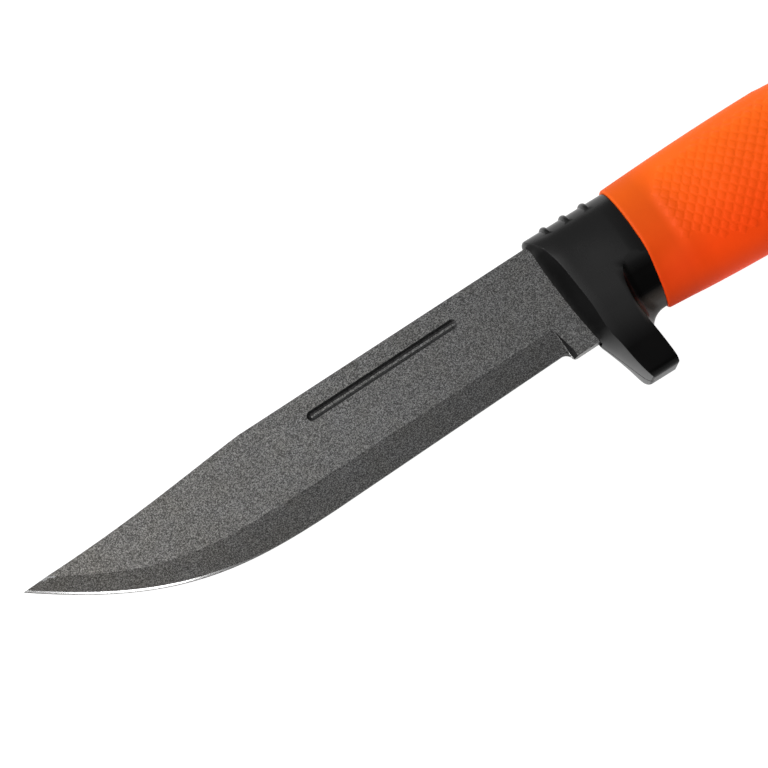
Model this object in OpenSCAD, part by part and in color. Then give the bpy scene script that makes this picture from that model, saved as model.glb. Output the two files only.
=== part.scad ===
// Fixed-blade knife with a moulded, finger-guarded handle.
// Working frame: x = 0 where the spine enters the bolster, tip towards -x, butt towards +x,
// y = 0 on the handle's axis with the spine on the +y side, z = 0 on the blade's middle plane.
// The finished part lies on its right side, with its origin under the middle of its bounding box.

/* [Blade] */
// Length of the blade from the bolster to the tip, along its spine
blade_len = 129.5; // [105:0.5:160]
// Height of the spine above the handle's axis
spine_h = 12.8; // [10:0.1:13.5]
// Depth of the cutting edge below the handle's axis
edge_h = 12; // [10.5:0.1:13]
// Thickness of the blade and its tang
blade_t = 3; // [2:0.1:4]
// Thickness left along the cutting edge
edge_t = 0.3; // [0.2:0.05:0.5]
// Height of the flat ground bevel at the heel
bevel_h = 6.5; // [4:0.1:10]
// Angle by which the blade droops below the handle's axis
blade_droop = 1.5; // [0:0.1:3]
// Length of the unground ricasso in front of the bolster
ricasso_len = 5; // [3:0.1:10]
// Depth of the ricasso below the handle's axis
ricasso_h = 13.2; // [12:0.1:13.5]
// How deep the full height of the blade is let into the bolster
blade_seat = 6; // [5:0.1:8]

/* [Fuller] */
// Length of the fuller
fuller_len = 37.6; // [20:0.1:50]
// Width of the fuller at the blade's face
fuller_w = 2.1; // [1:0.1:3]
// Depth of the fuller
fuller_d = 0.6; // [0.3:0.05:0.8]
// Distance from the bolster to the fuller
fuller_gap = 22.2; // [10:0.1:30]
// Distance from the spine down to the fuller's centre line
fuller_drop = 5.2; // [3:0.1:7]

/* [Tang] */
// Distance between the end of the tang and the butt cap
tang_gap = 8; // [3:0.5:30]
// Height of the tang
tang_h = 12; // [8:0.5:12]
// Height of the tang's centre line above the handle's axis
tang_y = 1; // [0:0.1:1.5]
// Radius of the two dowel pins
pin_r = 2; // [1.5:0.1:3]
// Distance of the front pin from the seam between bolster and grip
front_pin_gap = 14; // [8:0.5:30]
// Distance of the rear pin from the end of the tang
rear_pin_inset = 11; // [4:0.5:30]

/* [Handle] */
// Length of the handle from the bolster's front to the butt
handle_len = 118; // [98:1:142]
// Length of the bolster, up to the seam with the grip
bolster_len = 20.3; // [18.5:0.1:23]
// Length of the butt cap
cap_len = 15; // [13:0.5:18]
// Half thickness of the handle at the bolster's front
front_half = 7.2; // [6.8:0.1:8]
// Half thickness of the handle at the seam
seam_half = 7.8; // [7.4:0.1:9]
// Half thickness of the handle at the palm
palm_half = 10; // [9:0.1:12]
// Half thickness of the handle at its waist
waist_half = 8.8; // [8:0.1:10]
// Half thickness of the handle at the butt
butt_half = 9.2; // [8:0.1:10]
// Height of the handle's back at the seam
seam_top = 14; // [14:0.1:16]
// Height of the handle's back at the palm
palm_top = 16.3; // [15:0.1:19]
// Depth of the handle's belly at the seam
seam_low = 13.7; // [13:0.1:15]
// Depth of the handle's belly at the palm
palm_low = 16.6; // [15:0.1:19]
// Squareness of the handle's cross-section, 2 for an ellipse
squareness = 2.35; // [2:0.05:3]

/* [Guard] */
// Depth of the finger guard below the handle's axis
guard_low = 26.3; // [22:0.1:30]
// Half thickness of the finger guard
guard_half = 6.2; // [5:0.1:7]
// Distance of the guard's rear face from the bolster's front
guard_rear = 12.5; // [11:0.1:14]
// Lean of the guard's front edge
guard_lean = 19.5; // [10:0.5:24]
// Radius of the guard's corners
guard_r = 1.3; // [0.5:0.1:2]
// How far the bolster's bowed front falls back at its sides
bow_depth = 3; // [1:0.1:4]
// Radius of the scoop behind the guard on each side
scoop_r = 5.3; // [4:0.1:5.5]

/* [Thumb ribs] */
// Number of thumb ribs
rib_count = 3; // [1:1:3]
// Distance between ribs
rib_pitch = 5; // [3:0.1:6]
// Width of a rib
rib_w = 1.4; // [0.8:0.1:2]
// Height of a rib
rib_h = 0.6; // [0.3:0.1:1]
// Distance of the first rib from the bolster's front
rib_x = 5.1; // [4:0.1:6]

/* [Core] */
// Wall of the soft sleeve around the core
sleeve_wall = 2.6; // [2:0.1:3.5]
// Height of the core's nose and tail spigots
spigot_h = 11.2; // [9:0.1:11.4]
// Half thickness of the spigots
spigot_half = 3.2; // [2.6:0.1:3.3]
// Height of the spigots' centre line above the handle's axis
spigot_y = 3; // [2.6:0.1:3.2]
// Length of the spigots inside the bolster and the cap
spigot_len = 8; // [5:0.1:9]

/* [Lanyard tube] */
// Radius of the lanyard hole
lanyard_r = 2.75; // [2:0.05:3.5]
// Wall of the lanyard tube
tube_wall = 0.6; // [0.4:0.05:1]
// Distance of the lanyard hole from the end of the butt
lanyard_inset = 7.5; // [7:0.1:9]

/* [Fits] */
// Clearance between faces that are fitted together
fit = 0.05; // [0.02:0.01:0.15]
// Clearance of the slot around the ricasso's lower corner
slot_relief = 0.8; // [0.3:0.1:1]

/* [Hidden] */

$fn = 48;
eps = 0.01;
far = 60;

// Heights of the waist and the butt of the handle
waist_top = palm_top - 2.7;
butt_top = waist_top + 0.9;
waist_low = palm_low - 2.8;
butt_low = waist_low + 2;

cap_x = handle_len - cap_len;
palm_x = bolster_len + 36;
waist_x = cap_x - 8;
butt_x = handle_len - 6;
core_x = bolster_len + 3.7;
lanyard_x = handle_len - lanyard_inset;
tang_end = cap_x - tang_gap;
front_pin_x = bolster_len + front_pin_gap;
rear_pin_x = tang_end - rear_pin_inset;
tube_y = spigot_y;
tube_half = butt_half - 0.5;

// Line of the bolster's front edge: upright above the bend, then bowed back as a wide arc
front_bend = 9;
front_arc = 144;
slot_y = -ricasso_h - slot_relief;

// Handle outline keys: [distance from the bolster's front, value]
top_keys = [[0, seam_top], [bolster_len, seam_top], [palm_x, palm_top], [waist_x, waist_top],
    [butt_x, butt_top], [handle_len, butt_top]];
low_keys = [[0, seam_low], [bolster_len, seam_low], [palm_x + 4, palm_low], [waist_x, waist_low],
    [butt_x, butt_low], [handle_len, butt_low]];
half_keys = [[0, front_half], [bolster_len, seam_half], [palm_x, palm_half], [waist_x, waist_half],
    [butt_x, butt_half], [handle_len, butt_half]];

// Blade curves, in the blade's own frame, as cubic curves through four control points
tip = [-blade_len, spine_h - 2.95];
heel = [-ricasso_len - 2.1, -edge_h + 0.7];
belly_start = [-blade_len / 2 - 1, -edge_h];
clip = [[-blade_len + 55.5, spine_h], [-blade_len + 41.5, spine_h - 1],
    [-blade_len + 24.5, spine_h - 3.4], tip];
belly = [belly_start, [-blade_len + 40.5, -edge_h], [-blade_len + 25.5, -edge_h + 1.9], tip];
shoulder = [[-blade_len / 2 - 5, bevel_h - edge_h + 0.6], [-blade_len + 34.5, bevel_h - edge_h + 0.9],
    [-blade_len + 25, bevel_h - edge_h + 2.8], [-blade_len + 5.5, spine_h - 2.7]];
curve_steps = 24;

// Place of the finished part's origin in the working frame
part_origin = [(turned(tip).x + handle_len) / 2, (palm_top - guard_low) / 2, -palm_half];

function turned(p) = [p.x * cos(blade_droop) - p.y * sin(blade_droop),
    p.x * sin(blade_droop) + p.y * cos(blade_droop)];

// Point of the drooping blade's line at height y, at distance x from the bolster's front
function on_blade(x, y) = [x, (y + x * sin(blade_droop)) / cos(blade_droop)];

function cubic(c, t) = pow(1 - t, 3) * c[0] + 3 * pow(1 - t, 2) * t * c[1]
    + 3 * (1 - t) * t * t * c[2] + pow(t, 3) * c[3];

function cubic_points(c) = [for (i = [0:curve_steps]) cubic(c, i / curve_steps)];

// Eased value between keys, level at each key
function ease(a, b, t) = a + (b - a) * t * t * (3 - 2 * t);

function keyed(keys, x) =
    let (i = max([for (k = [0:len(keys) - 2]) keys[k][0] <= x ? k : 0]))
    ease(keys[i][1], keys[i + 1][1], (x - keys[i][0]) / (keys[i + 1][0] - keys[i][0]));

function signed_power(v, e) = sign(v) * pow(abs(v), e);

// Cross-section of the handle at x, drawn in by inset on every side
function handle_section(x, inset, sides = 40) =
    let (top = keyed(top_keys, x) - inset, low = keyed(low_keys, x) - inset,
        half = keyed(half_keys, x) - inset, power = 2 / squareness)
    [for (i = [0:sides - 1]) let (a = 360 * i / sides)
        [x, (top - low) / 2 + (top + low) / 2 * signed_power(sin(a), power),
            half * signed_power(cos(a), power)]];

// Cross-section of the domed butt: the end section shrunk about its centre
function dome_section(x, shrink, sides = 40) =
    let (cy = (butt_top - butt_low) / 2)
    [for (p = handle_section(handle_len, 0, sides)) [x, cy + (p.y - cy) * shrink, p.z * shrink]];

// Front edge of the bolster on the middle plane
function arc_x(y) = pow(min(y - front_bend, 0), 2) / (2 * front_arc);
function front_x(y) = y > slot_y ? arc_x(y) : arc_x(slot_y) + (slot_y - y) * tan(guard_lean);

// How far the front falls back at the bolster's sides, less towards the guard's end
function bow_at(y) = y > slot_y ? bow_depth : bow_depth * (1 - 0.8 * (slot_y - y) / (guard_low + slot_y));

module loft(rings) {
    n = len(rings[0]);
    m = len(rings);
    sides = [for (i = [0:m - 2]) for (j = [0:n - 1])
        let (k = (j + 1) % n, a = i * n + j, b = i * n + k, c = b + n, d = a + n)
        each [[a, b, c], [a, c, d]]];
    first = [for (j = [n - 1:-1:0]) j];
    last = [for (j = [0:n - 1]) (m - 1) * n + j];
    polyhedron([for (r = rings) each r], concat(sides, [first, last]), convexity = 8);
}

// Lofted stretch of the handle between two distances from the bolster's front
module handle_span(from, to, inset, steps) {
    loft([for (i = [0:steps]) handle_section(from + (to - from) * i / steps, inset)]);
}

module in_part_frame() {
    translate(-part_origin) children();
}

module plate(outline, thickness) {
    translate([0, 0, -thickness / 2]) linear_extrude(thickness) polygon(outline);
}

// Prism along x with a rectangular section centred on [y, 0]
module bar(from, to, y, height, half) {
    translate([from, y - height / 2, -half]) cube([to - from, height, 2 * half]);
}

module pin_hole(x, y, r) {
    translate([x, y, -far / 2]) cylinder(h = far, r = r);
}

/* Blade and its pins */

// Quarter-round notch between the cutting edge and the ricasso's lower corner
notch_r = ricasso_h + heel.y;
function notch_points() = [for (i = [0:6]) let (a = 90 - 15 * i)
    [heel.x, -ricasso_h] + notch_r * [cos(a), sin(a)]];

module blade_outline_plate() {
    tang_low = tang_y - tang_h / 2;
    tang_top = tang_y + tang_h / 2;
    body = concat(cubic_points(clip), [for (i = [curve_steps - 1:-1:0]) cubic_points(belly)[i]],
        notch_points());
    plate(concat([for (p = body) turned(p)], [on_blade(blade_seat, -ricasso_h)],
        [[blade_seat, tang_low], [tang_end, tang_low], [tang_end, tang_top], [blade_seat, tang_top]],
        [on_blade(blade_seat, spine_h)]), blade_t);
}

// Waste ground away on one side of the blade, from the plunge beside the ricasso to the tip
module bevel_waste() {
    plunge = -ricasso_len;
    over = 0.4;
    edges = concat([[plunge, heel.y]], cubic_points(belly), [tip + [-2, 4]]);
    tops = concat([[plunge, bevel_h - edge_h]], cubic_points(shoulder), [shoulder[3] + [-2, 4]]);
    rise = blade_t / 2 - edge_t / 2;
    loft([for (i = [0:len(edges) - 1])
        let (e = edges[i], s = tops[i], up = s + (s - e) * over, down = e - (s - e) * over)
        [[up.x, up.y, blade_t / 2 + rise * over], [down.x, down.y, blade_t / 2 + rise * over],
            [down.x, down.y, edge_t / 2 - rise * over]]]);
}

// Round-bottomed groove along one side of the blade
module fuller_groove() {
    r = (pow(fuller_w / 2, 2) + pow(fuller_d, 2)) / (2 * fuller_d);
    end_x = fuller_gap + r;
    translate([-end_x, spine_h - fuller_drop, blade_t / 2 - fuller_d + r]) {
        sphere(r = r);
        rotate([0, -90, 0]) cylinder(h = fuller_len - 2 * r, r = r);
        translate([-fuller_len + 2 * r, 0, 0]) sphere(r = r);
    }
}

module blade() {
    color([0.36, 0.36, 0.35]) in_part_frame() difference() {
        blade_outline_plate();
        for (side = [0, 1]) mirror([0, 0, side]) rotate([0, 0, blade_droop]) {
            bevel_waste();
            fuller_groove();
        }
        pin_hole(front_pin_x, tang_y, pin_r + fit);
        pin_hole(rear_pin_x, tang_y, pin_r + fit);
    }
}

// Dowel that stops just inside the soft sleeve
module tang_pin(x) {
    half = keyed(half_keys, x) - sleeve_wall - 0.4;
    color("silver") in_part_frame() translate([x, tang_y, -half]) cylinder(h = 2 * half, r = pin_r);
}

module front_pin() {
    tang_pin(front_pin_x);
}

module rear_pin() {
    tang_pin(rear_pin_x);
}

/* Bolster */

// Everything behind the bolster's bowed front face
module behind_front() {
    columns = 8;
    rows = [18, 14, 9, 4, -1, -6, -10, slot_y + eps, slot_y - eps, -18, -22, -guard_low - 2];
    reach = 9;
    loft([for (y = rows) concat(
        [for (i = [0:columns]) let (z = reach - 2 * reach * i / columns)
            [front_x(y) + bow_at(y) * pow(z / front_half, 2), y, z]],
        [[far, y, -reach], [far, y, reach]])]);
}

module guard_blank() {
    front = arc_x(slot_y) + 0.5;
    lean = (guard_low - guard_r) * tan(guard_lean);
    half = guard_half;
    translate([0, 0, -half]) linear_extrude(2 * half) union() {
        polygon([[front - 3, 0], [front - 3, -guard_low + guard_r], [front + 5, -guard_low],
            [guard_rear - guard_r, -guard_low], [guard_rear, -guard_low + guard_r], [guard_rear, 0]]);
        fillet_r = 4;
        translate([guard_rear, -seam_low]) difference() {
            translate([-eps, -fillet_r]) square([fillet_r, fillet_r + 4]);
            translate([fillet_r, -fillet_r]) circle(r = fillet_r);
        }
    }
}

module thumb_rib(x) {
    steps = 4;
    low = keyed(top_keys, x) - 2.4;
    intersection() {
        loft([for (i = [0:steps]) let (t = i / steps)
            handle_section(x - rib_w / 2 + rib_w * t, -rib_h * sin(180 * t) + eps)]);
        translate([0, low, -far / 2]) cube([far, far, far]);
    }
}

module scoops() {
    for (side = [-1, 1]) translate([bolster_len - 1.8, -7.5, side * (seam_half + 0.5)]) sphere(r = scoop_r);
}

// Space for the blade's seat and the tang behind it
module blade_slot() {
    half = blade_t / 2 + fit;
    seat = blade_seat + fit;
    plate([on_blade(-far, slot_y), on_blade(seat, slot_y), on_blade(seat, spine_h + fit),
        on_blade(-far, spine_h + fit)], 2 * half);
    bar(0, handle_len, tang_y, tang_h + 2 * fit, half);
}

module bolster() {
    color([0.08, 0.08, 0.08]) in_part_frame() difference() {
        intersection() {
            union() {
                handle_span(-2 * eps, bolster_len, 0, 4);
                guard_blank();
                for (i = [0:rib_count - 1]) thumb_rib(rib_x + rib_pitch * i);
            }
            behind_front();
        }
        scoops();
        blade_slot();
        bar(bolster_len - spigot_len - fit, far, spigot_y, spigot_h + 2 * fit, spigot_half + fit);
    }
}

/* Handle core, sleeve, cap and tube */

// Space inside the sleeve for the core's body, drawn in from the handle's outside by inset
module core_space(inset) {
    handle_span(core_x - fit, cap_x + 1, inset, 18);
}

// Core before the tang's slot is cut: body with a spigot at each end
module core_blank() {
    intersection() {
        core_space(sleeve_wall);
        translate([core_x, -far / 2, -far / 2]) cube([cap_x - fit - core_x, far, far]);
    }
    bar(bolster_len - spigot_len, cap_x + spigot_len, spigot_y, spigot_h, spigot_half);
}

module core_half(side) {
    color("dimgray") in_part_frame() difference() {
        intersection() {
            core_blank();
            translate([0, -far / 2, side > 0 ? 0 : -far]) cube([2 * far, far, far]);
        }
        bar(0, tang_end + fit, tang_y, tang_h + 2 * fit, blade_t / 2);
        pin_hole(front_pin_x, tang_y, pin_r + fit);
        pin_hole(rear_pin_x, tang_y, pin_r + fit);
        pin_hole(lanyard_x, tube_y, lanyard_r + tube_wall + fit);
    }
}

module core_left() {
    core_half(1);
}

module core_right() {
    core_half(-1);
}

module grip_sleeve() {
    color([1, 0.4, 0.1]) in_part_frame() difference() {
        handle_span(bolster_len, cap_x, 0, 24);
        core_space(sleeve_wall - fit);
        bar(0, far, spigot_y, spigot_h + 2 * fit, spigot_half + fit);
        blade_slot();
        scoops();
    }
}

module butt_cap() {
    dome = 3;
    color([0.08, 0.08, 0.08]) in_part_frame() difference() {
        union() {
            handle_span(cap_x, handle_len - dome, 0, 6);
            loft([for (i = [0:5]) let (a = 75 * i / 5)
                dome_section(handle_len - dome + dome * sin(a) / sin(75), 1 - (1 - cos(a)) * 0.25)]);
        }
        bar(0, cap_x + spigot_len + fit, spigot_y, spigot_h + 2 * fit, spigot_half + fit);
        pin_hole(lanyard_x, tube_y, lanyard_r + tube_wall + fit);
    }
}

module lanyard_tube() {
    color("silver") in_part_frame() translate([lanyard_x, tube_y, -tube_half]) difference() {
        cylinder(h = 2 * tube_half, r = lanyard_r + tube_wall);
        translate([0, 0, -1]) cylinder(h = 2 * tube_half + 2, r = lanyard_r);
    }
}

blade();
bolster();
core_left();
core_right();
front_pin();
rear_pin();
grip_sleeve();
butt_cap();
lanyard_tube();
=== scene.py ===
import math

import bmesh
import bpy
from mathutils import Matrix, Vector


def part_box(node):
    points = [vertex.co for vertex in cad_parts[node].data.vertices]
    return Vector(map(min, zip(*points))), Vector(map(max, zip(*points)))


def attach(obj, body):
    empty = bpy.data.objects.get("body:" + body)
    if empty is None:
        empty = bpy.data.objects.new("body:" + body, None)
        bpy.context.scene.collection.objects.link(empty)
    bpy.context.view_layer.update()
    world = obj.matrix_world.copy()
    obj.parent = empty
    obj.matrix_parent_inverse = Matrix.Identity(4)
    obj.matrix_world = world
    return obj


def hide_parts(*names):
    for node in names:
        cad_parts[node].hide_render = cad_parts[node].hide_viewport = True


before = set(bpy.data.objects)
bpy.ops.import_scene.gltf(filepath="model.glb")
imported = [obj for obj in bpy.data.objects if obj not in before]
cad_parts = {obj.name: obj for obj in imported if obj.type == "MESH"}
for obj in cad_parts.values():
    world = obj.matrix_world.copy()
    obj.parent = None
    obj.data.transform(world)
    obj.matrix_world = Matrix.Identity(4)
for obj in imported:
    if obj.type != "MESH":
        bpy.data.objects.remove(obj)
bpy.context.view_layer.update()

# ---------------------------------------------------------------------------
# The knife's own measure: millimetres from the point where the spine meets the
# bolster's front, x towards the butt, y towards the spine, z towards the left side.
# ---------------------------------------------------------------------------
MM = 0.001
GUARD_DEPTH = 26.3
bolster_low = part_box("bolster")[0]
blade_low, blade_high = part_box("blade")
grip_low, grip_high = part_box("grip_sleeve")
cap_low, cap_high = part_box("butt_cap")
tube_low, tube_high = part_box("lanyard_tube")
KNIFE_ORIGIN = Vector((
    bolster_low.x,
    bolster_low.y + GUARD_DEPTH * MM,
    (blade_low.z + blade_high.z) / 2,
))


def in_knife(point):
    """A point of the row frame, in the knife's own millimetres."""
    return (point - KNIFE_ORIGIN) / MM


def in_row(x, y, z):
    """A point of the knife's own measure, in the row frame."""
    return KNIFE_ORIGIN + Vector((x, y, z)) * MM


SEAM_X = in_knife(grip_low).x
PALM_TOP = in_knife(grip_high).y
PALM_HALF = in_knife(grip_high).z
CAP_X = in_knife(cap_low).x
BUTT_X = in_knife(cap_high).x
BLADE_HALF = in_knife(blade_high).z
TIP_X = in_knife(blade_low).x
TUBE_CENTRE = in_knife((tube_low + tube_high) / 2)
TUBE_HALF = in_knife(tube_high).z
TUBE_R = (tube_high.x - tube_low.x) / 2 / MM

# ---------------------------------------------------------------------------
# Bench work: small helpers for making and shaping pieces
# ---------------------------------------------------------------------------


def only(piece):
    """Makes the piece the only selected and the active one."""
    bpy.ops.object.select_all(action="DESELECT")
    piece.select_set(True)
    bpy.context.view_layer.objects.active = piece


def put_face_on(piece, points):
    """Puts the corners of the one selected face on the points, in order."""
    mesh = bmesh.from_edit_mesh(piece.data)
    face = next(f for f in mesh.faces if f.select)
    for corner, point in zip(face.verts, points):
        corner.co = point
    bmesh.update_edit_mesh(piece.data)


def loft(name, rings):
    """A closed solid drawn through rings of points: a filled circle is set on the first
    ring, and its face is extruded from each ring to the next."""
    bpy.ops.object.select_all(action="DESELECT")
    bpy.ops.mesh.primitive_circle_add(vertices=len(rings[0]), fill_type="NGON")
    piece = bpy.context.object
    piece.name = name
    bpy.ops.object.mode_set(mode="EDIT")
    bpy.ops.mesh.select_mode(type="FACE")
    bpy.ops.mesh.select_all(action="SELECT")
    put_face_on(piece, rings[0])
    for ring in rings[1:]:
        bpy.ops.mesh.extrude_region()
        put_face_on(piece, ring)
    bpy.ops.mesh.select_all(action="SELECT")
    bpy.ops.mesh.normals_make_consistent(inside=False)
    bpy.ops.object.mode_set(mode="OBJECT")
    return piece


def finish_modifier(piece, kind, **settings):
    """Adds a modifier with these settings and applies it."""
    only(piece)
    modifier = piece.modifiers.new(kind.lower(), kind)
    for key, value in settings.items():
        setattr(modifier, key, value)
    bpy.ops.object.modifier_apply(modifier=modifier.name)


def combine(piece, operation, *tools):
    """Cuts the piece with each tool or joins it to each."""
    for tool in tools:
        finish_modifier(piece, "BOOLEAN", operation=operation, object=tool, solver="MANIFOLD")
        bpy.data.objects.remove(tool)


def place(piece):
    """Shrinks a bench piece from millimetres to its place in the row frame."""
    only(piece)
    piece.matrix_world = Matrix.Translation(KNIFE_ORIGIN) @ Matrix.Scale(MM, 4) @ piece.matrix_world
    bpy.ops.object.transform_apply(location=True, rotation=True, scale=True)
    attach(piece, "root")


def shade(piece, crease_deg, *materials):
    """Gives the piece its finishes, with smooth shading up to a crease angle."""
    only(piece)
    bpy.ops.object.shade_smooth_by_angle(angle=math.radians(crease_deg))
    piece.data.materials.clear()
    for material in materials:
        piece.data.materials.append(material)


def ease(low, high, t):
    """Eased step from low to high as t goes from 0 to 1."""
    t = min(max(t, 0.0), 1.0)
    return low + (high - low) * t * t * (3 - 2 * t)


def keyed(keys, x):
    """Eased value between (x, value) keys, level at each key."""
    for (x0, v0), (x1, v1) in zip(keys, keys[1:]):
        if x <= x1:
            return ease(v0, v1, (x - x0) / (x1 - x0))
    return keys[-1][1]


def round_off(t):
    """Fall of a quarter round as t goes from 0 to 1."""
    t = min(max(t, 0.0), 1.0)
    return 1 - math.sqrt(1 - t * t)


def spread(start, end, count):
    """Evenly spaced values from start to end, both included."""
    return [start + (end - start) * i / (count - 1) for i in range(count)]


def bezier(control, t):
    """Point of a cubic curve drawn by its four control points."""
    a, b, c, d = (Vector(p) for p in control)
    return a * (1 - t) ** 3 + b * 3 * t * (1 - t) ** 2 + c * 3 * t * t * (1 - t) + d * t**3


# ---------------------------------------------------------------------------
# Materials
# ---------------------------------------------------------------------------


def grey(value):
    return (value, value, value)


def add_ramp(tree, value, stops):
    """Colour by value in a node tree; each stop is (position, colour)."""
    made = tree.nodes.new("ShaderNodeValToRGB")
    while len(made.color_ramp.elements) < len(stops):
        made.color_ramp.elements.new(0.5)
    for element, (position, colour) in zip(made.color_ramp.elements, stops):
        element.position = position
        element.color = (*colour, 1)
    tree.links.new(value, made.inputs["Fac"])
    return made.outputs["Color"]


class Finish:
    """A node material being put together around one Principled shader."""

    def __init__(self, name, **sockets):
        self.material = bpy.data.materials.new(name)
        self.material.use_nodes = True
        self.tree = self.material.node_tree
        self.shader = self.tree.nodes["Principled BSDF"]
        for key, value in sockets.items():
            self.shader.inputs[key.replace("_", " ")].default_value = value
        self.position = self.node("ShaderNodeTexCoord").outputs["Object"]

    def node(self, kind, **settings):
        """A new node; each setting goes to its input of that name or else to the node."""
        made = self.tree.nodes.new(kind)
        for key, value in settings.items():
            if key in made.inputs:
                made.inputs[key].default_value = value
            else:
                setattr(made, key, value)
        return made

    def link(self, output, target):
        self.tree.links.new(output, target)

    def noise(self, size_mm, detail=2.0, roughness=0.5):
        """Noise whose blobs are about this big."""
        made = self.node("ShaderNodeTexNoise", Scale=1 / (size_mm * MM), Detail=detail,
                         Roughness=roughness)
        self.link(self.position, made.inputs["Vector"])
        return made.outputs["Fac"]

    def ramp(self, value, *stops):
        """Colour by value; each stop is (position, colour)."""
        return add_ramp(self.tree, value, stops)

    def way(self, axis, start, end):
        """How far a place has come from start to end along one axis of the knife, 0 to 1."""
        split = self.node("ShaderNodeSeparateXYZ")
        self.link(self.position, split.inputs[0])
        share = self.node("ShaderNodeMapRange")
        self.link(split.outputs[axis], share.inputs["Value"])
        origin = KNIFE_ORIGIN["XYZ".index(axis)]
        share.inputs["From Min"].default_value = origin + start * MM
        share.inputs["From Max"].default_value = origin + end * MM
        return share.outputs["Result"]

    def times(self, first, second):
        """Product of two shares."""
        made = self.node("ShaderNodeMath", operation="MULTIPLY")
        self.link(first, made.inputs[0])
        self.link(second, made.inputs[1])
        return made.outputs["Value"]

    def mix(self, factor, first, second, blend="MIX"):
        """Mixed colour; each input is an output socket or a plain value."""
        made = self.node("ShaderNodeMix", data_type="RGBA", blend_type=blend)
        for name, value in (("Factor", factor), ("A", first), ("B", second)):
            socket = next(s for s in made.inputs if s.name == name and s.enabled)
            if isinstance(value, bpy.types.NodeSocket):
                self.link(value, socket)
            else:
                socket.default_value = (*value, 1) if isinstance(value, tuple) else value
        return next(s for s in made.outputs if s.enabled)

    def tint(self, first, second):
        """One colour multiplied by another."""
        return self.mix(1.0, first, second, "MULTIPLY")

    def bump(self, height, depth_mm, strength):
        """Relief of about this depth on the shader's surface."""
        made = self.node("ShaderNodeBump", Distance=depth_mm * MM, Strength=strength)
        self.link(height, made.inputs["Height"])
        self.wear(made.outputs["Normal"], "Normal")

    def wear(self, output, name):
        """Links an output to the shader's own socket of this name."""
        self.link(output, self.shader.inputs[name])


def steel_finish():
    """Blasted stainless steel, dull grey with a fine salt-and-pepper grain."""
    f = Finish("blasted_steel", Metallic=1.0, Roughness=0.42)
    grain = f.noise(0.27, detail=3.5, roughness=0.85)
    tone = f.ramp(grain, (0.4, grey(0.055)), (0.5, grey(0.125)), (0.6, grey(0.36)))
    cast = f.ramp(f.noise(5.0), (0.3, (0.94, 0.93, 0.90)), (0.7, grey(1.0)))
    # a little darker and warmer towards the tip
    fade = f.ramp(f.way("X", -125, -55), (0.0, (0.80, 0.775, 0.74)), (1.0, grey(1.0)))
    f.wear(f.tint(f.tint(tone, cast), fade), "Base Color")
    f.wear(f.ramp(grain, (0.3, grey(0.5)), (0.7, grey(0.36))), "Roughness")
    f.bump(grain, 0.045, 0.6)
    return f.material


def honed_finish():
    """Bright honed strip along the cutting edge."""
    f = Finish("honed_edge", Metallic=1.0, Roughness=0.22)
    lines = f.noise(0.12)
    f.wear(f.ramp(lines, (0.3, grey(0.7)), (0.7, grey(0.95))), "Base Color")
    f.bump(lines, 0.004, 0.4)
    return f.material


def painted_shade_wall_finish(name, dark, light):
    """Steel in the steep walls of plunge and fuller, painted dark as painted shade in these recesses."""
    f = Finish(name, Metallic=1.0, Roughness=0.6)
    grain = f.noise(0.25, detail=1.5, roughness=0.7)
    f.wear(f.ramp(grain, (0.34, grey(dark)), (0.64, grey(light))), "Base Color")
    return f.material


def polymer_finish():
    """Satin black moulded polymer, duller on the guard's sides and in the finger's dish, with a painted
    reflection lightening the saddle under the dish.
    """
    f = Finish("black_polymer", Roughness=0.3)
    patch = f.noise(9.0)
    f.wear(f.ramp(patch, (0.3, grey(0.25)), (0.7, grey(0.31))), "Roughness")
    up_guard = f.way("Y", -18.5, -10)
    behind = f.way("X", 11.4, 12.8)
    on_guard = f.ramp(up_guard, (0.0, grey(0.06)), (1.0, grey(0.5)))
    in_dish = f.ramp(f.way("Y", -14, -2), (0.2, grey(0.0)), (0.38, grey(1.0)), (0.72, grey(1.0)),
                     (0.95, grey(0.0)))
    f.wear(f.mix(f.times(behind, in_dish), on_guard, grey(0.06)), "Specular IOR Level")
    # the saddle under the dish is painted a lighter brown-grey: a painted reflection of the pale floor
    saddle_painted_reflection = f.ramp(up_guard, (0.25, grey(0.0)), (0.5, grey(1.0)), (0.8, grey(1.0)), (1.0, grey(0.0)))
    black = f.ramp(patch, (0.3, grey(0.002)), (0.7, (0.0032, 0.003, 0.003)))
    f.wear(f.mix(f.times(behind, saddle_painted_reflection), black, (0.045, 0.037, 0.032)), "Base Color")
    f.bump(f.noise(0.35, detail=3), 0.008, 0.3)
    return f.material


def matte_polymer_finish():
    """The same moulding on the bolster's front, shiny only at the guard's end and the spine."""
    f = Finish("matte_polymer", Roughness=0.4)
    f.wear(f.ramp(f.noise(6.0), (0.3, grey(0.003)), (0.7, grey(0.005))), "Base Color")
    f.wear(f.ramp(f.way("Y", -18, 14), (0.0, grey(0.8)), (0.2, grey(0.06)), (0.85, grey(0.06)),
                  (1.0, grey(0.5))), "Specular IOR Level")
    f.bump(f.noise(0.3, detail=3), 0.012, 0.4)
    return f.material


def elastomer_finish():
    """Soft matte orange elastomer, painted lighter and yellower towards the top as painted light from
    above, and painted darker by the collar as painted shade.
    """
    f = Finish("orange_elastomer", Roughness=0.55, Specular_IOR_Level=0.12)
    # The orange is painted lighter and yellower towards the top: painted light from above.
    body = f.ramp(f.way("Y", -12, 14), (0.1, (0.93, 0.063, 0.002)), (0.9, (0.97, 0.13, 0.006)))
    cast = f.ramp(f.noise(7.0, detail=3), (0.3, (0.95, 0.93, 0.9)), (0.7, grey(1.0)))
    # By the collar the orange is painted darker: painted shade.
    collar = f.ramp(f.way("X", 26, 33), (0.0, grey(0.79)), (1.0, grey(1.0)))
    f.wear(f.tint(f.tint(body, cast), collar), "Base Color")
    f.bump(f.noise(0.22, detail=3), 0.015, 0.4)
    return f.material


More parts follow.
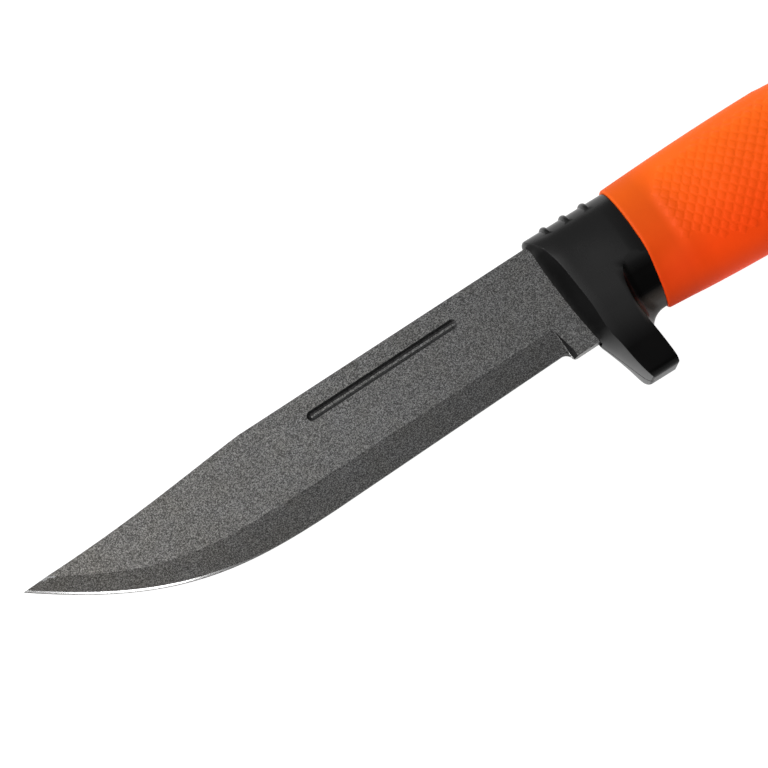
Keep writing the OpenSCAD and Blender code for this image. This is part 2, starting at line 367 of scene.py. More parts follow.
def turned_steel_finish():
    """Plain turned steel for the tube and pins."""
    f = Finish("turned_steel", Metallic=1.0, Roughness=0.3)
    rings = f.noise(0.2)
    f.wear(f.ramp(rings, (0.3, grey(0.5)), (0.7, grey(0.66))), "Base Color")
    f.bump(rings, 0.006, 0.4)
    return f.material


def core_finish():
    """Plain dark moulding hidden in the grip."""
    f = Finish("core_polymer", Roughness=0.6)
    f.wear(f.ramp(f.noise(0.5), (0.3, grey(0.03)), (0.7, grey(0.045))), "Base Color")
    return f.material


STEEL = steel_finish()
HONED = honed_finish()
# The plunge's wall and the fuller's sides take darker steel: painted shade in the steep recesses of the
# grind.
PLUNGE_PAINTED_SHADE = painted_shade_wall_finish("plunge_wall_painted_shade", 0.01, 0.04)
FULLER_PAINTED_SHADE = painted_shade_wall_finish("fuller_side_painted_shade", 0.02, 0.085)
POLYMER = polymer_finish()
MATTE = matte_polymer_finish()
ELASTOMER = elastomer_finish()
TURNED = turned_steel_finish()
CORE = core_finish()

# ---------------------------------------------------------------------------
# Blade, modelled in its own straight frame and then turned by its droop
# ---------------------------------------------------------------------------
DROOP = math.radians(1.5)
BLADE_LEN = (-TIP_X - 9.85 * math.sin(DROOP)) / math.cos(DROOP)
SPINE_Y = 12.8
EDGE_Y = -12.0
RICASSO_Y = -13.2
PLUNGE_X = -5.4
BEVEL_Y = -5.4
SEAT_X = 6.0
HEEL = (-7.1, -11.3)
TIP = (-BLADE_LEN, 9.85)
CLIP = [(-BLADE_LEN + 55.5, SPINE_Y), (-BLADE_LEN + 41.5, 11.8), (-BLADE_LEN + 24.5, 9.4), TIP]
BELLY = [(-BLADE_LEN / 2 - 1, EDGE_Y), (-BLADE_LEN + 40.5, EDGE_Y), (-BLADE_LEN + 25.5, -10.1), TIP]
SHOULDER = [(-BLADE_LEN / 2 - 5, -4.95), (-BLADE_LEN + 34.5, -4.6),
            (-BLADE_LEN + 25, -2.7), (-BLADE_LEN + 5.5, 10.1)]
CURVE_STEPS = 56
EDGE_HALF = 0.05
# The honed strip: width at the heel and round the belly, and how steeply it rises
HONE_WIDTH = (0.12, 0.5)
HONE_SLOPE = 0.6
# Its outermost rim, which rises more steeply
EDGE_RIM = 0.14
RIM_SLOPE = 1.15
# The plunge's wall: how far it leans back per millimetre of rise, and its sweep at the foot
WALL_LEAN = 0.8
WALL_SWEEP = 0.25
FULLER_REAR = -21.6
FULLER_FRONT = FULLER_REAR - 38.2
FULLER_Y = SPINE_Y - 5.2
FULLER_R = 1.08
# Section of the fuller, rim to floor: (depth, half width, drop of its middle)
FULLER_SECTION = [(-0.5, 1.14, 0.0), (0.0, 1.1, 0.0), (0.36, 0.62, 0.05), (0.5, 0.24, 0.08)]
TANG_Y = (-5.0, 7.0)
TANG_END = 95.0


def curve(control):
    """Points along a cubic curve of the blade's outline."""
    return [bezier([(*p, 0) for p in control], t) for t in spread(0, 1, CURVE_STEPS)]


def blade_blank():
    """The plate before grinding: blade, ricasso and tang in one outline."""
    notch = HEEL[1] - RICASSO_Y
    arc = [Vector((HEEL[0] + notch * math.cos(a), RICASSO_Y + notch * math.sin(a), 0))
           for a in spread(math.pi / 2, 0.12, 9)]
    outline = curve(CLIP) + curve(BELLY)[-2::-1] + arc
    outline += [Vector((PLUNGE_X + 0.5, RICASSO_Y, 0)), Vector((SEAT_X, RICASSO_Y, 0)),
                Vector((SEAT_X, TANG_Y[0], 0)), Vector((TANG_END, TANG_Y[0], 0)),
                Vector((TANG_END, TANG_Y[1], 0)), Vector((SEAT_X, TANG_Y[1], 0)),
                Vector((SEAT_X, SPINE_Y, 0))]
    half = Vector((0, 0, BLADE_HALF))
    return loft("blade_steel", [[p - half for p in outline], [p + half for p in outline]])


def hone_width(x):
    """Width of the honed strip, broader round the belly."""
    return ease(HONE_WIDTH[0], HONE_WIDTH[1], (-BLADE_LEN + 48 - x) / 12)


def skew_at(edges, i, top):
    """How squarely the station to this top crosses the edge: 1 when it is square to it."""
    tangent = (edges[min(i + 1, len(edges) - 1)] - edges[max(i - 1, 0)]).normalized()
    return max(abs(tangent.cross((top - edges[i]).normalized()).z), 0.3)


def stone_ring(side, edge, top, wall=None, skew=1.0):
    """One station of a grinding stone: bevel, honed strip, foot and two outer corners. The
    skew keeps the strip as wide and steep where a station crosses the edge at a slant. With
    a wall, given as how far it has risen from 0 to 1, the station leans up the plunge."""
    run = (edge - top).length
    hone = hone_width(edge.x) / skew
    rim_width = min(EDGE_RIM / skew, 0.4 * hone)
    rim_top = EDGE_HALF + RIM_SLOPE * skew * rim_width
    hone_top = rim_top + HONE_SLOPE * skew * (hone - rim_width)
    profile = [(v, BLADE_HALF - (BLADE_HALF - hone_top) * v / (1 - hone / run))
               for v in spread(-0.25, 1 - hone / run, 7)]
    profile += [(1 - rim_width / run, rim_top), (1.0, EDGE_HALF)]
    points = []
    for v, height in profile:
        x, y = (top + (edge - top) * v)[:2]
        if wall is not None:
            x += wall * WALL_LEAN * (BLADE_HALF - height) + WALL_SWEEP * (1 - (1 - max(v, 0)) ** 2)
            height += (BLADE_HALF + 0.3 - height) * wall
        points.append(Vector((x, y, side * height)))
    foot = (edge - top).normalized() * 4.5
    points.append(points[-1] + foot)
    clear = side * (BLADE_HALF + 2.5)
    return points + [Vector((p.x, p.y, clear)) for p in (points[-1], points[0])]


def grinding_stone(side):
    """The steel ground away on one side: a flat bevel with a steep plunge at the ricasso."""
    edges, tops = curve(BELLY), curve(SHOULDER)
    past_tip = Vector((-2, 4, 0))
    last = len(edges) - 1
    rings = [stone_ring(side, edges[-1] + past_tip, tops[-1] + past_tip,
                        skew=skew_at(edges, last, tops[-1]))]
    rings += [stone_ring(side, edges[i], tops[i], skew=skew_at(edges, i, tops[i]))
              for i in range(last, -1, -1)]
    edge, top = Vector((PLUNGE_X, HEEL[1], 0)), Vector((PLUNGE_X, BEVEL_Y, 0))
    before = Vector((-1.2, 0, 0))
    rings += [stone_ring(side, edge + before, top + before)]
    rings += [stone_ring(side, edge + before * shift, top + before * shift, wall)
              for shift, wall in ((0.12, 0.0), (0.0, 0.06), (0.0, 1.0))]
    return loft("stone", rings)


def fuller_cutter(side):
    """Slot cutter for the fuller: round-ended rings from over the flat down to the floor."""
    rings = []
    for depth, half, drop in FULLER_SECTION:
        y, z = FULLER_Y - drop, side * (BLADE_HALF - depth)
        ring = []
        for end, first in ((FULLER_REAR - FULLER_R, -math.pi / 2), (FULLER_FRONT + FULLER_R, math.pi / 2)):
            ring += [Vector((end + half * math.cos(first + a), y + half * math.sin(first + a), z))
                     for a in spread(0, math.pi, 17)]
        rings.append(ring)
    return loft("fuller_cutter", rings)


def in_fuller(face):
    """Whether a face belongs to the walls of the fuller."""
    x, y, z = face.center
    depth = BLADE_HALF - abs(z)
    return (FULLER_FRONT < x < FULLER_REAR and abs(y - FULLER_Y) < FULLER_R + 0.2
            and 0.005 < depth < FULLER_SECTION[-1][0] - 0.01)


def is_honed(face):
    """Whether a face of the straight blade belongs to the honed strip."""
    steep = 0.76 < abs(face.normal.z) < 0.94
    ahead = HEEL[0] - 0.5 > face.center.x
    return ahead and steep and (face.center.y < -8 or face.center.x < -BLADE_LEN + 50)


def is_plunge(face):
    """Whether a face belongs to the plunge's steep wall."""
    here = PLUNGE_X - 0.3 < face.center.x < PLUNGE_X + 1.6 and abs(face.center.z) < BLADE_HALF - 0.004
    return here and face.normal.x < -0.5 and 0.15 < abs(face.normal.z)


def blade_finish_index(face):
    """Which of the blade's finishes a face takes: steel, honed, or the painted shade of the plunge's wall
    or the fuller's side.
    The fuller's upper wall lies in shade and takes the plunge wall's painted shade."""
    if is_plunge(face) or (in_fuller(face) and face.normal.y < -0.45):
        return 2
    if in_fuller(face):
        return 3
    return int(is_honed(face))


def make_blade():
    """The blade with its tang: blank, grinds, fullers, then turned by its droop."""
    blade = blade_blank()
    for side in (1, -1):
        combine(blade, "DIFFERENCE", grinding_stone(side), fuller_cutter(side))
    shade(blade, 7, STEEL, HONED, PLUNGE_PAINTED_SHADE, FULLER_PAINTED_SHADE)
    for face in blade.data.polygons:
        face.material_index = blade_finish_index(face)
    blade.matrix_world = Matrix.Rotation(DROOP, 4, "Z")
    place(blade)
    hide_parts("blade")


# ---------------------------------------------------------------------------
# Handle form shared by bolster, grip and cap
# ---------------------------------------------------------------------------
SEAM_TOP, SEAM_LOW = 14.4, 14.0
PALM_LOW = 16.5
FRONT_HALF, SEAM_HALF = 7.2, 7.8
# Edges and half thickness of the handle along its length: (x, value)
TOP_KEYS = [(0, SEAM_TOP), (SEAM_X, SEAM_TOP), (SEAM_X + 36, PALM_TOP), (CAP_X - 8, PALM_TOP - 2.7),
            (BUTT_X - 6, PALM_TOP - 1.8), (BUTT_X, PALM_TOP - 1.8)]
LOW_KEYS = [(0, SEAM_LOW), (SEAM_X, SEAM_LOW), (SEAM_X + 40, PALM_LOW), (CAP_X - 8, PALM_LOW - 2.8),
            (BUTT_X - 6, PALM_LOW - 0.8), (BUTT_X, PALM_LOW - 0.8)]
HALF_KEYS = [(0, FRONT_HALF), (SEAM_X, SEAM_HALF), (SEAM_X + 36, PALM_HALF - 0.65), (CAP_X - 8, 8.6),
             (BUTT_X - 6, 9.2), (BUTT_X, 9.2)]
COLLAR_MID, COLLAR_REACH = (SEAM_TOP - SEAM_LOW) / 2, (SEAM_TOP + SEAM_LOW) / 2
RING_SIDES = 96
SQUARENESS = 2.3
# The neck above the finger: power and root of its slimmer lower half
NECK_POWER, NECK_ROOT = 1.9, 0.7
NECK_FADE = 9.0
GRIP_PROUD = 0.65
RIM_RISE = 0.2
PALM_RUN = 42.0
DISH_DEPTH = 0.6
SWELL = 0.38
SWELL_CORNER = (35.5, 4.5)
SEAM_LEAN = 1.4


def roundness(s, neck=0.0):
    """Half thickness, as a share of the greatest, at height s from -1 to 1. The neck share
    draws the lower half in to the slim form left by the finger groove."""
    if s >= 0:
        return max(1 - s**SQUARENESS, 0) ** (1 / SQUARENESS)
    power = SQUARENESS + (NECK_POWER - SQUARENESS) * neck
    root = 1 / SQUARENESS + (NECK_ROOT - 1 / SQUARENESS) * neck
    return max(1 - (-s) ** power, 0) ** root


def swell(x, y):
    """Soft rise of the side where the palm panel begins behind the collar."""
    corner = math.hypot(min(x - SWELL_CORNER[0], 0), max(y - SWELL_CORNER[1], 0))
    return SWELL * ease(1, 0, (corner - 6.2) / 2.4) * ease(0, 1, (y + 9) / 8)


def outline_at(keys, palm, x):
    """Top or low edge of the handle at x. The grip stands proud at the seam and goes on
    rising, ever less, up to the palm."""
    if SEAM_X < x < SEAM_X + PALM_RUN:
        t = (x - SEAM_X) / PALM_RUN
        seam = keys[0][1] + GRIP_PROUD
        return palm + (seam - palm) * (1 - t) ** 2
    return keyed(keys, x)


def seam_shift(y):
    """How far the seam leans towards the tip on its way down to the finger."""
    return -SEAM_LEAN * min(max(-y / 14, 0), 1) ** 1.3


def dish(y):
    """How far the finger's dish is drawn in at height y."""
    return DISH_DEPTH * ease(0, 1, (-2.2 - y) / 4.4) * ease(1, 0, (-y - 8.5) / 5.5)


def rim(x):
    """How far the grip's side stands proud of the bolster, dying out behind the seam."""
    return ease(RIM_RISE, 0, (x - SEAM_X) / 9)


def grip_neck(x):
    """How much of the neck's slim form the grip still has at x."""
    return ease(1, 0, (x - SEAM_X) / NECK_FADE)


def handle_ring(x, grow=0.0, neck=0.0, swollen=False):
    """Section of the handle at x as points. A swollen one belongs to the grip, with its
    rim, its palm panel and the lean of the seam."""
    top = outline_at(TOP_KEYS, PALM_TOP, x) + grow
    low = outline_at(LOW_KEYS, PALM_LOW, x) + grow
    half = keyed(HALF_KEYS, x) + grow
    lean = ease(1, 0, (x - SEAM_X) / 8) if swollen else 0
    ring = []
    for i in range(RING_SIDES):
        a = 2 * math.pi * i / RING_SIDES
        s = math.copysign(abs(math.sin(a)) ** (2 / SQUARENESS), math.sin(a))
        y = (top - low) / 2 + (top + low) / 2 * s
        z = max(half * roundness(s, neck) - neck * dish(y), 0)
        if swollen:
            z += rim(x) * roundness(s) + swell(x, y) * roundness(s)
        ring.append(Vector((x + seam_shift(y) * lean, y, math.copysign(z, math.cos(a)))))
    return ring


# ---------------------------------------------------------------------------
# Bolster with its guard
# ---------------------------------------------------------------------------
SLOT_Y = -14.0
# Below its bend the front curves back, as a parabola of this arc, down to the guard
FRONT_BEND = 9
FRONT_ARC = 144
GUARD_LEAN = math.tan(math.radians(19.5))
GUARD_ROUND = 1.9
TIP_REAR = 13.6
TIP_CORNER = 0.8
TOP_ROUND = 0.9
BOW = 3.0
# The finger's groove: place of its front wall and its radius, in the middle and at the flanks
GROOVE_WALL = (13.0, 11.9)
GROOVE_R = (5.2, 3.0)
SIDE_BEND_X = 16.6
SIDE_FALL = 0.4
GUARD_TAPER = 0.0145
GUARD_END_FALL = 0.34
RIBS = [5.1 + 5.0 * i for i in range(3)]
RIB_HALF = 0.66
RIB_RISE = 0.6


def guard_end(y):
    """Fall of the rounding at the guard's end at height y, from 0 to 1."""
    return round_off((GUARD_ROUND - GUARD_DEPTH - y) / GUARD_ROUND)


def front_x(y):
    """Front edge of the bolster on the middle plane."""
    if y > SLOT_Y:
        x = min(y - FRONT_BEND, 0) ** 2 / (2 * FRONT_ARC)
    else:
        x = (SLOT_Y - FRONT_BEND) ** 2 / (2 * FRONT_ARC) + (SLOT_Y - y) * GUARD_LEAN
    x += TOP_ROUND * round_off((y - SEAM_TOP + TOP_ROUND) / TOP_ROUND)
    return x - 0.5 * ease(0, 1, (y - 11.4) / 1.9) + 0.9 * guard_end(y)


def rear_x(y):
    """Rear end of the uncut bolster: the seam, or the guard's rounded rear corner."""
    if y > TIP_CORNER - GUARD_DEPTH:
        return SEAM_X + seam_shift(y)
    return TIP_REAR - TIP_CORNER * round_off((TIP_CORNER - GUARD_DEPTH - y) / TIP_CORNER)


def bow_at(y):
    """How far the front falls back at the sides, less towards the guard's end."""
    return BOW * ease(1, 0.2, (SLOT_Y - y) / (GUARD_DEPTH + SLOT_Y))


def side_share(y):
    """Thickness of the bolster at height y as a share of the handle's, guard included."""
    if y >= COLLAR_MID:
        return roundness((y - COLLAR_MID) / COLLAR_REACH)
    share = 1 - GUARD_TAPER * max(-y - 3, 0) * ease(0, 1, (-3 - y) / 9)
    return share - GUARD_END_FALL * guard_end(y)


def side_fall(x):
    """How far the bolster's side falls away between its bend and the seam."""
    t = max((x - SIDE_BEND_X) / (SEAM_X - SIDE_BEND_X), 0)
    return SIDE_FALL * t**1.3


def rounded_corner(before, corner, after, reach):
    """Three points that take the edge off a corner."""
    a = corner + (before - corner).normalized() * reach
    b = corner + (after - corner).normalized() * reach
    return [a, (a + b) * 0.25 + corner * 0.5, b]


def bolster_level(y):
    """Outline of the bolster cut level at height y, seen from the spine side."""
    share = side_share(y)
    ridge_x = front_x(y) + bow_at(y) * share**2
    ridge_z = keyed(HALF_KEYS, ridge_x) * share
    bowed = []
    for u in spread(0, 1, 9):
        z = ridge_z * u
        bowed.append(Vector((front_x(y) + bow_at(y) * (z / FRONT_HALF) ** 2, y, z)))
    if y < SLOT_Y:
        bowed[0].x += 0.2
        bowed.insert(1, Vector((front_x(y), y, 0.16)))
    else:
        bowed.insert(1, (bowed[0] + bowed[1]) / 2)
    bend = min(SIDE_BEND_X, rear_x(y) - 0.5)
    flank = [Vector((x, y, (keyed(HALF_KEYS, x) - side_fall(x)) * share))
             for x in spread(bowed[-1].x, bend, 7) + spread(bend, rear_x(y), 7)[1:]]
    reach = min(0.004 + 0.5 * ease(0, 1, (y - 8) / 6), ridge_z * 0.4)
    half = bowed[:-1] + rounded_corner(bowed[-2], bowed[-1], flank[1], reach) + flank[1:]
    other = [Vector((p.x, p.y, -p.z)) for p in reversed(half[1:])]
    return half + other


def finger_groove():
    """Cutter that leaves the neck: a rounded groove swept from side to side under it."""
    contour = []
    for a in spread(-0.06, math.pi / 2, 36):
        s = -math.sin(a)
        y = COLLAR_MID + COLLAR_REACH * s
        if s < 0:
            z = max(SEAM_HALF * roundness(s, 1.0) - dish(y), 0)
        else:
            z = SEAM_HALF + 0.25 * s * s + 0.02
        contour.append(Vector((0, y, z)))
    contour[-1].z = 0
    contour += [Vector((0, p.y, -p.z)) for p in reversed(contour[:-1])]
    rings = []
    for i, p in enumerate(contour):
        flank = ease(0, 1, abs(p.z) / 4.8)
        wall = GROOVE_WALL[0] + (GROOVE_WALL[1] - GROOVE_WALL[0]) * flank
        radius = GROOVE_R[0] + (GROOVE_R[1] - GROOVE_R[0]) * flank
        lean = 0.3 - 0.5 * flank
        profile = [(wall + lean, 30), (wall + lean, 11.4)]
        profile += [(wall + radius * (1 - math.cos(a)), radius * (1 - math.sin(a)))
                    for a in spread(0, math.pi / 2, 14)]
        profile += [(SEAM_X + 5, 0), (SEAM_X + 5, 30)]
        before, after = contour[max(i - 1, 0)], contour[min(i + 1, len(contour) - 1)]
        along = (after - before).normalized()
        out = Vector((0, along.z, -along.y))
        rings.append([Vector((x, 0, 0)) + p + out * h for x, h in profile])
    return loft("finger_groove", rings)


def thumb_rib(x):
    """Raised rib across the spine side of the bolster that dies out down its sides."""
    rings = []
    for u in spread(-0.98, 0.98, 11):
        inner = handle_ring(x + RIB_HALF * u, grow=-0.4)
        outer = handle_ring(x + RIB_HALF * u, grow=RIB_RISE * math.sqrt(1 - u * u))
        rings.append([p.lerp(q, ease(0, 1, (p.y - 11.0) / 2.2)) for p, q in zip(inner, outer)])
    return loft("thumb_rib", rings)


def blade_slot():
    """Pocket in the bolster's front that takes the blade."""
    half, end, top = BLADE_HALF + 0.08, SEAT_X + 0.1, SPINE_Y + 0.15
    corners = [(-20, SLOT_Y), (end, SLOT_Y), (end, top), (-20, top)]
    slot = loft("blade_slot", [[Vector((x, y, z)) for x, y in corners] for z in (-half, half)])
    only(slot)
    slot.matrix_world = Matrix.Rotation(DROOP, 4, "Z")
    bpy.ops.object.transform_apply(location=False, rotation=True, scale=False)
    return slot


def bolster_heights():
    """Heights of the bolster's levels, spine to guard end, closer where the form turns."""
    corner = TIP_CORNER - GUARD_DEPTH
    crown = [COLLAR_MID + COLLAR_REACH * math.sin(math.radians(a)) ** (2 / SQUARENESS)
             for a in (89.6, 87, 83, 78, 72, 66, 60, 53, 46, 39, 32, 25, 18, 10)]
    side = spread(COLLAR_MID, SLOT_Y + 0.02, 12)
    guard = spread(SLOT_Y - 0.02, GUARD_ROUND - GUARD_DEPTH, 9)
    guard += spread(GUARD_ROUND - GUARD_DEPTH - 0.3, corner + 0.01, 6) + [corner - 0.001]
    return crown + side + guard + [corner - TIP_CORNER * math.sin(a) for a in spread(0.25, 1.52, 7)]


def make_bolster():
    """The bolster with ribs, finger groove and blade slot; its front takes the matte finish."""
    bolster = loft("bolster_moulding", [bolster_level(y) for y in bolster_heights()])
    combine(bolster, "UNION", *[thumb_rib(x) for x in RIBS])
    combine(bolster, "DIFFERENCE", finger_groove(), blade_slot())
    place(bolster)
    shade(bolster, 32, POLYMER, MATTE)
    for face in bolster.data.polygons:
        face.material_index = int(face.normal.x < -0.66)
    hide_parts("bolster")


# ---------------------------------------------------------------------------
# Grip with its moulded diamonds
# ---------------------------------------------------------------------------
PAD_PITCH = 1.98
PAD_SIZE = 1.76
PAD_RISE = 0.06
PAD_BLOCK = 0.9
# A pad's shoulder and crown: (how far drawn in, how far raised)
PAD_STEPS = [(0.22, 0.1), (0.24, 0.05)]
FIRST_PAD = (28.9, 1.3)
PANEL_FROM, PANEL_TO = 28.2, 96.0
PANEL_ROUND = 8.3
# The grip's front lip: (distance behind the seam, growth of the section)
LIP = [(0.05, -0.8), (0.06, -0.4), (0.1, -0.17), (0.22, -0.05), (0.4, 0.0)]


def grip_point(x, y, side):
    """Point of the grip's surface above (x, y) on one side."""
    top, low = outline_at(TOP_KEYS, PALM_TOP, x), outline_at(LOW_KEYS, PALM_LOW, x)
    half = keyed(HALF_KEYS, x)
    s = (y - (top - low) / 2) / ((top + low) / 2)
    s = min(max(s, -0.999), 0.999)
    z = half * roundness(s, grip_neck(x)) + swell(x, y) * roundness(s)
    return Vector((x, y, side * z))


def in_panel(x, y):
    """Whether a pad belongs here: the panel's round-cornered outline on the grip's side."""
    front = math.hypot(min(x - PANEL_FROM - PANEL_ROUND, 0), max(y - 4.8, 0)) < PANEL_ROUND
    rear = math.hypot(max(x - PANEL_TO + 8, 0), max(abs(y - 1) - 4, 0)) < PANEL_ROUND
    low_edge = -5.0 - 6.2 * ease(0, 1, (x - PANEL_FROM) / 13) - 1.0 * ease(0, 1, (x - 45) / 20)
    high_edge = 12.4 + 0.9 * ease(0, 1, (x - 36) / 20) - 1.2 * ease(0, 1, (x - 70) / 22)
    return front and rear and low_edge < y < high_edge and PANEL_FROM < x < PANEL_TO


def pad_blank():
    """One moulded diamond: a small block, tapered and rounded off."""
    bpy.ops.object.select_all(action="DESELECT")
    bpy.ops.mesh.primitive_cube_add(size=1)
    pad = bpy.context.object
    pad.name = "pad_blank"
    pad.scale = (PAD_SIZE, PAD_SIZE, PAD_BLOCK)
    pad.rotation_euler.z = math.radians(45)
    bpy.ops.object.transform_apply(location=False, rotation=True, scale=True)
    bpy.ops.object.mode_set(mode="EDIT")
    bpy.ops.mesh.select_mode(type="FACE")
    bpy.ops.mesh.select_all(action="DESELECT")
    mesh = bmesh.from_edit_mesh(pad.data)
    mesh.normal_update()
    for face in mesh.faces:
        face.select_set(face.normal.z > 0.9)
    bmesh.update_edit_mesh(pad.data)
    for inset, rise in PAD_STEPS:
        bpy.ops.mesh.inset(thickness=inset, depth=0)
        bpy.ops.transform.translate(value=(0, 0, rise))
    bpy.ops.object.mode_set(mode="OBJECT")
    return pad


def pad_at(blank, x, y, side):
    """A copy of the pad, set on the grip's surface and turned square to it."""
    here = grip_point(x, y, side)
    along = grip_point(x + 0.2, y, side) - grip_point(x - 0.2, y, side)
    across = grip_point(x, y + 0.2, side) - grip_point(x, y - 0.2, side)
    normal = along.cross(across).normalized() * side
    along.normalize()
    turn = Matrix((along, normal.cross(along), normal)).transposed().to_4x4()
    pad = blank.copy()
    pad.data = blank.data.copy()
    bpy.context.scene.collection.objects.link(pad)
    crown = PAD_BLOCK / 2 + sum(rise for _, rise in PAD_STEPS)
    pad.matrix_world = Matrix.Translation(here + normal * (PAD_RISE - crown)) @ turn
    return pad


def moulded_pads():
    """All diamonds of both side panels as one piece."""
    blank = pad_blank()
    step = PAD_PITCH / math.sqrt(2)
    pads = []
    for side in (1, -1):
        for i in range(52):
            for j in range(-11, 11):
                x, y = FIRST_PAD[0] + step * i, FIRST_PAD[1] + step * j
                if (i + j) % 2 == 0 and in_panel(x, y):
                    pads.append(pad_at(blank, x, y, side))
    bpy.data.objects.remove(blank)
    bpy.ops.object.select_all(action="DESELECT")
    for pad in pads:
        pad.select_set(True)
    bpy.context.view_layer.objects.active = pads[0]
    bpy.ops.object.join()
    pads[0].name = "moulded_pads"
    bpy.ops.object.transform_apply(location=True, rotation=True, scale=True)
    return pads[0]


def make_grip():
    """The grip from its lip at the seam to the cap, with the diamonds joined on."""
    rings = [handle_ring(SEAM_X + x, grow=g, neck=grip_neck(SEAM_X + x), swollen=True) for x, g in LIP]
    rings += [handle_ring(x, neck=grip_neck(x), swollen=True)
              for x in spread(SEAM_X + 0.9, 40, 34) + spread(41.5, CAP_X - 0.3, 42)]
    rings += [handle_ring(CAP_X - 0.05, grow=-0.15), handle_ring(CAP_X - 0.02, grow=-0.4)]
    grip = loft("grip_moulding", rings)
    combine(grip, "UNION", moulded_pads())
    place(grip)
    shade(grip, 35, ELASTOMER)
    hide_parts("grip_sleeve")


# ---------------------------------------------------------------------------
# Butt cap and lanyard tube
# ---------------------------------------------------------------------------
DOME = 3.0
DOME_END = 75
TUBE_WALL = 0.6
CUTTER_DEPTH = 40


def dome_ring(a):
    """Section of the butt's dome at angle a in degrees, drawn in about its centre."""
    end = handle_ring(BUTT_X)
    middle = (max(p.y for p in end) + min(p.y for p in end)) / 2
    shrink = 1 - (1 - math.cos(math.radians(a))) * 0.25
    x = BUTT_X - DOME + DOME * math.sin(math.radians(a)) / math.sin(math.radians(DOME_END))
    return [Vector((x, middle + (p.y - middle) * shrink, p.z * shrink)) for p in end]


def cross_hole(radius, depth):
    """Round cutter along z through the butt at the lanyard hole."""
    bpy.ops.object.select_all(action="DESELECT")
    bpy.ops.mesh.primitive_cylinder_add(vertices=64, radius=radius, depth=depth,
                                        location=(TUBE_CENTRE.x, TUBE_CENTRE.y, 0))
    cutter = bpy.context.object
    bpy.ops.object.transform_apply(location=True, rotation=True, scale=True)
    return cutter


def make_cap():
    """The hard cap: a short wall behind the grip, a dome and the tube's hole."""
    rings = [handle_ring(CAP_X + 0.02, grow=-0.4), handle_ring(CAP_X + 0.1, grow=-0.12)]
    rings += [handle_ring(x) for x in [CAP_X + 0.35] + spread(CAP_X + 1, BUTT_X - DOME, 14)]
    rings += [dome_ring(a) for a in (8, 17, 27, 38, 49, 60, 68, DOME_END)]
    cap = loft("butt_moulding", rings)
    combine(cap, "DIFFERENCE", cross_hole(TUBE_R + 0.05, CUTTER_DEPTH))
    place(cap)
    shade(cap, 32, POLYMER)
    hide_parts("butt_cap")


def make_tube():
    """The lanyard's steel tube, with its ends rounded off."""
    tube = cross_hole(TUBE_R, 2 * TUBE_HALF)
    tube.name = "lanyard_eyelet"
    combine(tube, "DIFFERENCE", cross_hole(TUBE_R - TUBE_WALL, CUTTER_DEPTH))
    finish_modifier(tube, "BEVEL", width=0.22, segments=3, limit_method="ANGLE")
    place(tube)
    shade(tube, 35, TURNED)
    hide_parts("lanyard_tube")


# ---------------------------------------------------------------------------
# Stage: floor, light and camera
# ---------------------------------------------------------------------------
VIEW_AZIMUTH = -32.4
VIEW_ELEVATION = 76.5
VIEW_DISTANCE = 0.520
LOOK_AT = in_row(-42, 4, 0)
LENS_MM = 114.1


def make_camera():
    azimuth, elevation = math.radians(VIEW_AZIMUTH), math.radians(VIEW_ELEVATION)
    back = Vector((math.sin(azimuth) * math.cos(elevation), -math.cos(azimuth) * math.cos(elevation),
                   math.sin(elevation)))
    camera = bpy.data.objects.new("camera", bpy.data.cameras.new("camera"))
    bpy.context.scene.collection.objects.link(camera)
    camera.data.lens = LENS_MM
    camera.data.clip_start, camera.data.clip_end = 0.01, 10
    camera.location = LOOK_AT + back * VIEW_DISTANCE
    camera.rotation_euler = (-back).to_track_quat("-Z", "Y").to_euler()
    bpy.context.scene.camera = camera


def make_floor():
    bpy.ops.object.select_all(action="DESELECT")
    bpy.ops.mesh.primitive_plane_add(size=6, location=(0, 0, -0.0002))
    floor = bpy.context.object
    floor.name = "floor"
    f = Finish("pale_floor", Roughness=0.9, Specular_IOR_Level=0.1)
    f.wear(f.ramp(f.noise(60, detail=1), (0.3, grey(0.14)), (0.7, grey(0.16))), "Base Color")
    f.shader.inputs["Emission Color"].default_value = (1, 1, 1, 1)
    f.shader.inputs["Emission Strength"].default_value = 0.99
    floor.data.materials.append(f.material)


def area_light(name, direction, distance, size, power):
    """Square softbox in this direction from the knife, facing it."""
    light = bpy.data.objects.new(name, bpy.data.lights.new(name, "AREA"))
    bpy.context.scene.collection.objects.link(light)
    light.data.size = size
    light.data.energy = power
    light.location = Vector(direction).normalized() * distance
    light.rotation_euler = Vector(direction).to_track_quat("Z", "Y").to_euler()


# Brightness of the studio by height, 0 level and 1 overhead, behind and in front of the knife
DOME_BACK = [(0.0, 1.0), (0.08, 0.9), (0.2, 0.3), (0.6, 0.32), (0.9, 0.34), (1.0, 0.6)]
DOME_FRONT = [(0.0, 1.3), (0.22, 1.15), (0.38, 0.08), (0.8, 0.18), (0.9, 0.3), (1.0, 0.62)]
# On the butt's side the studio is darker: (how far to that side, brightness)
DOME_WING = [(0.22, 1.0), (0.65, 0.1)]
# The camera's own hood shades a spot beside it: (closeness to that spot, brightness)
HOOD_SIDE = Vector((0.13, -0.19, 0.973))
HOOD_SHADE = [(0.955, 1.0), (0.99, 0.85)]


def add_step(tree, value, start, end):
    """Smooth step in a node tree from one (value, result) pair to another."""
    made = tree.nodes.new("ShaderNodeMapRange")
    made.interpolation_type = "SMOOTHSTEP"
    made.inputs["From Min"].default_value, made.inputs["To Min"].default_value = start
    made.inputs["From Max"].default_value, made.inputs["To Max"].default_value = end
    tree.links.new(value, made.inputs["Value"])
    return made.outputs["Result"]


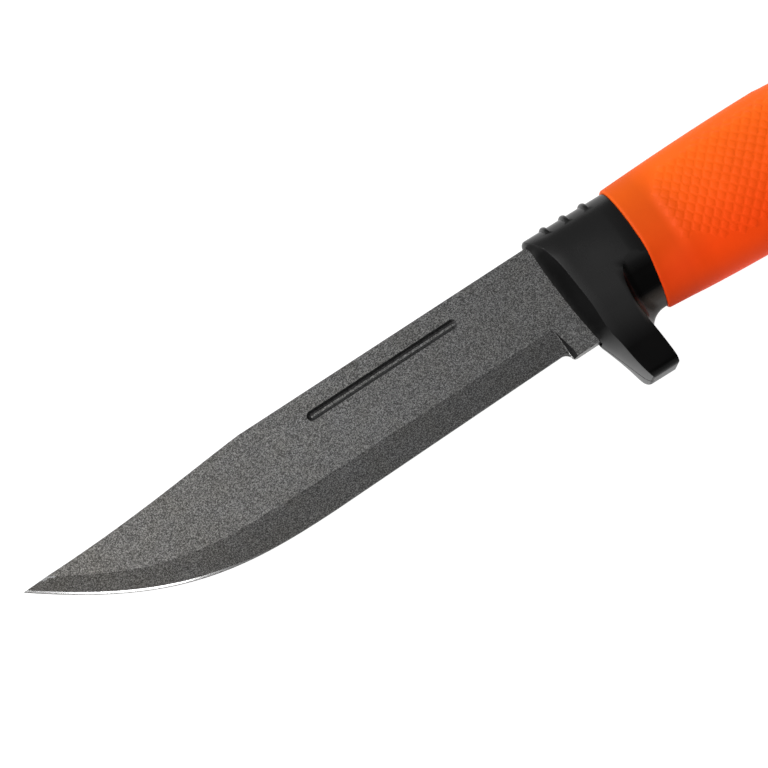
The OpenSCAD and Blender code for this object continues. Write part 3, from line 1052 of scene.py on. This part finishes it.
def make_dome():
    """Studio dome: bright at the floor's edge, dim overhead and on the butt's side."""
    world = bpy.data.worlds.new("studio")
    bpy.context.scene.world = world
    world.use_nodes = True
    tree = world.node_tree
    direction = tree.nodes.new("ShaderNodeTexCoord").outputs["Generated"]
    split = tree.nodes.new("ShaderNodeSeparateXYZ")
    tree.links.new(direction, split.inputs[0])
    front, back = (add_ramp(tree, split.outputs["Z"], [(at, grey(value)) for at, value in stops])
                   for stops in (DOME_FRONT, DOME_BACK))
    turn = tree.nodes.new("ShaderNodeMapRange")
    turn.inputs["From Min"].default_value, turn.inputs["From Max"].default_value = -0.3, 0.3
    tree.links.new(split.outputs["Y"], turn.inputs["Value"])
    blend = tree.nodes.new("ShaderNodeMix")
    blend.data_type = "RGBA"
    tree.links.new(turn.outputs["Result"], blend.inputs["Factor"])
    tree.links.new(front, blend.inputs[6])
    tree.links.new(back, blend.inputs[7])
    towards = tree.nodes.new("ShaderNodeVectorMath")
    towards.operation = "DOT_PRODUCT"
    towards.inputs[1].default_value = HOOD_SIDE
    tree.links.new(direction, towards.inputs[0])
    both = tree.nodes.new("ShaderNodeMath")
    both.operation = "MULTIPLY"
    tree.links.new(add_step(tree, towards.outputs["Value"], *HOOD_SHADE), both.inputs[0])
    tree.links.new(add_step(tree, split.outputs["X"], *DOME_WING), both.inputs[1])
    tree.links.new(blend.outputs[2], tree.nodes["Background"].inputs["Color"])
    tree.links.new(both.outputs["Value"], tree.nodes["Background"].inputs["Strength"])


def make_stage():
    """Floor, lights and camera."""
    make_camera()
    make_floor()
    make_dome()
    area_light("key_softbox", direction=(-0.5, 0.42, 0.76), distance=1.5, size=0.9, power=22.5)
    area_light("fill_softbox", direction=(-0.48, -0.60, 0.64), distance=0.9, size=0.25, power=0.9)
    bpy.context.scene.view_settings.view_transform = "Standard"


def finish_hidden_pieces():
    """Gives the cores and pins, which stay as they are constructed, their finishes."""
    for finish, names in ((CORE, ("core_left", "core_right")), (TURNED, ("front_pin", "rear_pin"))):
        for name in names:
            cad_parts[name].data.materials.clear()
            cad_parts[name].data.materials.append(finish)


make_stage()
make_blade()
make_bolster()
make_grip()
make_cap()
make_tube()
finish_hidden_pieces()
